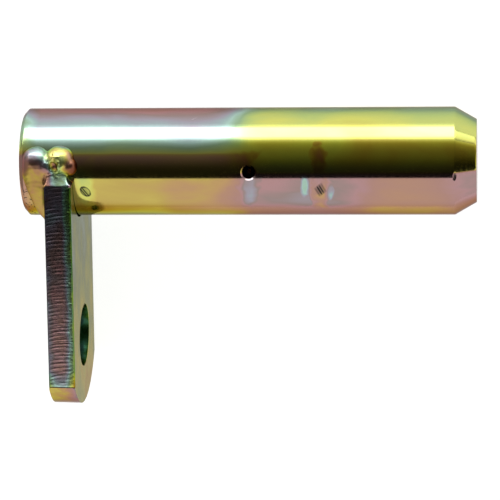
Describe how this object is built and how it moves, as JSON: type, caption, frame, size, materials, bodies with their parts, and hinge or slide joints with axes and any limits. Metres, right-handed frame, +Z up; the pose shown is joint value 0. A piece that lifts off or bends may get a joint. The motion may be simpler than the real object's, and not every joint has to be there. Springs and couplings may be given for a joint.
{
  "type": "loader pin",
  "caption": "Plated steel pivot pin with a tapered nose, a greased bore and a flat retaining lug welded across its head end.",
  "frame": {"origin": "On the pin's axis, where the inboard face of the retaining lug crosses it: the shoulder that stops against the boss.", "axes": "+X runs along the pin from the head to the nose, the lug hangs towards -Y, and +Z is up with the pin lying on a surface on the edge of its lug. The side towards +Z carries the grease outlet."},
  "size_m": [0.168, 0.1137, 0.05],
  "materials": {
    "pin_plating": "turned steel with yellow chromated zinc plating",
    "lug_plating": "flame cut steel bar with yellow chromated zinc plating",
    "weld_plating": "rippled fillet weld with yellow chromated zinc plating"
  },
  "bodies": {
    "root": {"pin_shaft": "pin_plating", "retaining_lug": "lug_plating", "weld_bead": "weld_plating"}
  },
  "joints": []
}
